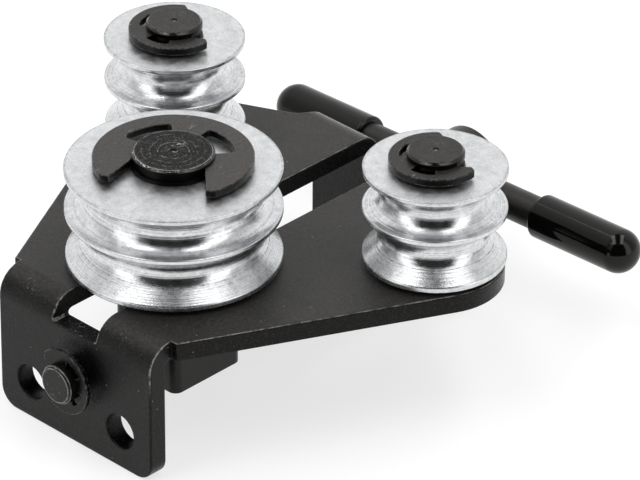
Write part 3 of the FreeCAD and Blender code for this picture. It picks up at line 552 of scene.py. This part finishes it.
def vinyl():
    """Glossy black dipped vinyl with a soft, slightly wavy skin."""
    shader = black_shader("grip_vinyl", 0.27)
    shader.set("Base Color", VINYL_TONE)
    shader.set("Roughness", shader.spread(shader.noise(420.0, 3.0, 0.6), 0.05, 0.11))
    shader.bump(shader.noise(130.0, 1.0), 0.25 * MM, 0.2)
    shader.bump(shader.noise(1300.0), 0.012 * MM, 0.4)
    return shader.material


def dress(material, *nodes):
    for node in nodes:
        mesh = NODES[node].data
        mesh.materials.clear()
        mesh.materials.append(material)


def dress_nodes():
    dress(frame_paint(), "frame_plate")
    dress(plain_black("block_black", 0.003, 0.22), "carriage_block")
    dress(plain_black("handle_black", 0.010, 0.34, 0.60, 0.68), "handle_hub", "tee_bar")
    dress(plain_black("washer_black", 0.004, 0.35),
          "large_washer", "small_washer_left", "small_washer_right")
    dress(clip_black("large_clip_black", 0.070, 0.5), "large_axle_clip")
    dress(clip_black("small_clip_black", 0.038, 0.38), "small_axle_clip_left", "small_axle_clip_right")
    dress(clip_black("screw_clip_black", 0.012, 0.12), "screw_clip")
    dress(vinyl(), "grip_left", "grip_right")
    for kind, ending in (("large", ""), ("small", "_left"), ("small", "_right")):
        axle = kind + "_axle" + ending
        roller = kind + "_roller" + ending
        top = top_of(axle)
        low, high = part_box(roller)
        dress(turned_black(axle + "_black", top, **AXLE_LOOKS[kind]), axle)
        dress(zinc(roller + "_zinc", top, low.z, high.z, (high.x - low.x) / 2), roller)


# Lead screw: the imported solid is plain, this one has its M12 thread. Its sizes are in millimetres.

PITCH = 1.75
CREST = 6.0
ROOT = 4.93
JOURNAL = 5.0
CLIP_GROOVE = 4.0
THREAD_START = 6.5
THREAD_END = 104.5

# Points round the screw, the distance at which two points are one, and the angle of a sharp edge
AROUND = 64
SAME_POINT = 0.004 * MM
SHARP_ANGLE = math.radians(24)

# Distance along one turn, and how much of the thread's depth is cut away there
THREAD_FORM = [(0.0, 0.0), (0.219, 0.0), (0.53, 0.5), (0.837, 1.0), (1.132, 1.0), (1.44, 0.5)]

# Distance behind the front flange's face, and radius, for the turned ends
FRONT_END = [
    (-6.3, 0.0), (-6.3, 4.4), (-6.14, 4.68), (-5.7, JOURNAL), (-3.94, JOURNAL), (-3.94, CLIP_GROOVE),
    (-2.86, CLIP_GROOVE), (-2.86, JOURNAL), (4.85, JOURNAL), (4.85, 5.6), (5.25, CREST),
    (THREAD_START, CREST),
]
REAR_END = [(THREAD_END, CREST), (127.0, CREST), (138.0, CREST), (138.4, 5.6), (138.4, 0.0)]


def screw_point(along, radius, turn):
    """A point of the screw, turn being its angle round +Y from straight up."""
    across = radius * math.sin(turn) * MM
    above = radius * math.cos(turn) * MM
    return Vector((across, along * MM, SCREW_HEIGHT + above))


def thread_radius(along, cut):
    """The thread runs out to nothing over one turn at both ends."""
    run_in = min(1.0, (along - THREAD_START) / PITCH)
    run_out = min(1.0, (THREAD_END - along) / PITCH)
    return CREST - (CREST - ROOT) * cut * max(0.0, min(run_in, run_out))


def screw_column(step):
    """Along and radius of every point in one lengthwise row of the thread."""
    points = []
    turns = int((THREAD_END - THREAD_START) / PITCH) + 2
    for turn in range(-1, turns):
        for along, cut in THREAD_FORM:
            place = THREAD_START + (turn + step / AROUND) * PITCH + along
            held = min(max(place, THREAD_START), THREAD_END)
            points.append((held, thread_radius(held, cut)))
    return points


def grid(mesh, columns):
    """Faces between neighbouring columns of points."""
    rows = [[mesh.verts.new(point) for point in column] for column in columns]
    for left, right in zip(rows, rows[1:]):
        for index in range(len(left) - 1):
            mesh.faces.new((left[index], left[index + 1], right[index + 1], right[index]))


def add_lead_screw():
    mesh = bmesh.new()
    steps = range(AROUND + 1)
    angles = [2 * math.pi * step / AROUND for step in steps]
    for profile in (FRONT_END, REAR_END):
        grid(mesh, [[screw_point(along, radius, turn) for along, radius in profile] for turn in angles])
    grid(mesh, [[screw_point(along, radius, turn) for along, radius in screw_column(step)]
                for step, turn in zip(steps, angles)])
    bmesh.ops.remove_doubles(mesh, verts=mesh.verts, dist=SAME_POINT)
    bmesh.ops.dissolve_degenerate(mesh, edges=mesh.edges, dist=SAME_POINT)
    bmesh.ops.recalc_face_normals(mesh, faces=mesh.faces)
    data = bpy.data.meshes.new("threaded_screw")
    mesh.to_mesh(data)
    mesh.free()
    data.shade_smooth()
    data.set_sharp_from_angle(angle=SHARP_ANGLE)
    screw = bpy.data.objects.new("threaded_screw", data)
    bpy.context.scene.collection.objects.link(screw)
    data.materials.append(screw_black())
    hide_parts("lead_screw")
    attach(screw, "screw")


def screw_black():
    """Oiled black screw: polished crests, and bright rings and marks on its front end."""
    shader = black_shader("screw_black", 0.24)
    from_axis = shader.radius_about(Vector((0, 0, SCREW_HEIGHT)), keep=(1, 0, 1))
    along = shader.parts(shader.place)["Y"]
    patchy = shader.noise(700.0, 3.0, 0.7)
    crest = shader.times(shader.ramp(from_axis, 5.80 * MM, 5.96 * MM),
                         shader.ramp(patchy, 0.35, 0.65, 0.1, 0.7),
                         shader.band(along, THREAD_START * MM, THREAD_END * MM, 0.5 * MM))
    front = shader.ramp(along, -5.5 * MM, -5.75 * MM)
    inner = shader.band(from_axis, 4.32 * MM, 4.48 * MM, 0.1 * MM)
    outer = shader.ramp(from_axis, 4.82 * MM, 4.94 * MM)
    rings = shader.times(front, shader.most(inner, outer), shader.ramp(patchy, 0.36, 0.50, 0.12, 0.55))
    marks = shader.times(front, shader.ramp(shader.noise(620.0, 4.0, 0.75), 0.60, 0.68, 0.0, 0.35))
    lay_bare_and_highlight(shader, shader.most(crest, rings, marks), SCREW_TONE, shader.spread(patchy, 0.18, 0.32))
    shader.bump(shader.noise(1500.0, 3.0, 0.6), 0.02 * MM, 0.5)
    return shader.material


# Stage: white floor in a light tent with two long lamps overhead

FLOOR_HALF = 3.0
PAPER = (0.8, 0.8, 0.8, 1.0)

# What the camera, glossy and transmitted rays meet: grey paper that shows the shadow, lifted to white
SEEN_PAPER = (0.36, 0.36, 0.36, 1.0)
SEEN_GLOW = 0.70


def floor_white():
    material = bpy.data.materials.new("floor_white")
    material.use_nodes = True
    material.node_tree.nodes.clear()
    tree = Tree(material.node_tree)
    paper = tree.node("ShaderNodeBsdfDiffuse", {"Color": PAPER}).outputs[0]
    shaded = tree.node("ShaderNodeBsdfDiffuse", {"Color": SEEN_PAPER}).outputs[0]
    glow = tree.node("ShaderNodeEmission", {"Color": WHITE, "Strength": SEEN_GLOW}).outputs[0]
    lifted = tree.node("ShaderNodeAddShader")
    tree.feed(lifted.inputs[0], shaded)
    tree.feed(lifted.inputs[1], glow)
    path = tree.node("ShaderNodeLightPath").outputs
    seen = tree.most(path["Is Camera Ray"], path["Is Glossy Ray"], path["Is Transmission Ray"])
    mix = tree.node("ShaderNodeMixShader", {"Fac": seen})
    tree.feed(mix.inputs[1], paper)
    tree.feed(mix.inputs[2], lifted.outputs[0])
    tree.node("ShaderNodeOutputMaterial", {"Surface": mix.outputs[0]})
    return material


def add_floor():
    mesh = bpy.data.meshes.new("floor")
    corners = [(x * FLOOR_HALF, y * FLOOR_HALF, STANDING) for x, y in ((-1, -1), (1, -1), (1, 1), (-1, 1))]
    mesh.from_pydata(corners, [], [(0, 1, 2, 3)])
    mesh.materials.append(floor_white())
    floor = bpy.data.objects.new("floor", mesh)
    bpy.context.scene.collection.objects.link(floor)


# Radiance of the tent's parts
WALL_FRONT = 0.62
WALL_BACK = 1.02
STRIP = 1.25
OPENING = 0.02
ROOF_MIDDLE = 0.04
ROOF_SIDE = 0.55
LAMP = 4.0
BACKGROUND = 1.0

# The tent's middle stands a little to the picture's left of the camera
TENT_SHIFT = 0.04


def slope(tree, angle, start, end, to_low=0.0, to_high=1.0):
    """As smooth, between two angles in degrees."""
    return tree.smooth(angle, math.radians(start), math.radians(end), to_low, to_high)


def tent_light(tree, direction):
    """The tent's light by direction: a dark opening behind the camera, a bright strip at each of
    its sides, pale walls, and two long lamps overhead with a gap between them."""
    ahead = tree.vector("DOT_PRODUCT", direction, TO_CAMERA)
    across = tree.vector("DOT_PRODUCT", direction, TO_RIGHT)
    side = tree.math("ABSOLUTE", tree.plus(across, TENT_SHIFT))
    rise = tree.math("ARCSINE", tree.parts(direction)["Z"])
    turn = tree.math("ARCTAN2", side, ahead)
    walls = slope(tree, turn, 80, 125, WALL_FRONT, WALL_BACK)
    strips = tree.times(slope(tree, turn, 38, 50), slope(tree, turn, 66, 78, 1.0, 0.0), STRIP)
    opening = tree.times(slope(tree, turn, 48, 38), slope(tree, rise, 62, 56), slope(tree, rise, -12, -2))
    low = tree.blend(opening, tree.plus(walls, strips), OPENING)
    roof = tree.smooth(side, 0.05, 0.2, ROOF_MIDDLE, ROOF_SIDE)
    lamp = tree.times(tree.band(side, 0.22, 0.41, 0.03), tree.band(ahead, -0.40, 0.42, 0.04),
                      slope(tree, rise, 40, 50))
    return tree.blend(lamp, tree.blend(slope(tree, rise, 56, 64), low, roof), LAMP)


def add_world():
    world = bpy.data.worlds.new("light_tent")
    bpy.context.scene.world = world
    world.use_nodes = True
    world.node_tree.nodes.clear()
    tree = Tree(world.node_tree)
    light = tent_light(tree, tree.node("ShaderNodeTexCoord").outputs["Generated"])
    path = tree.node("ShaderNodeLightPath").outputs
    strength = tree.blend(path["Is Camera Ray"], light, BACKGROUND)
    glow = tree.node("ShaderNodeBackground", {"Color": WHITE, "Strength": strength})
    tree.node("ShaderNodeOutputWorld", {"Surface": glow.outputs[0]})


bpy.context.scene.view_settings.view_transform = "Standard"
add_camera()
dress_nodes()
add_lead_screw()
add_floor()
add_world()
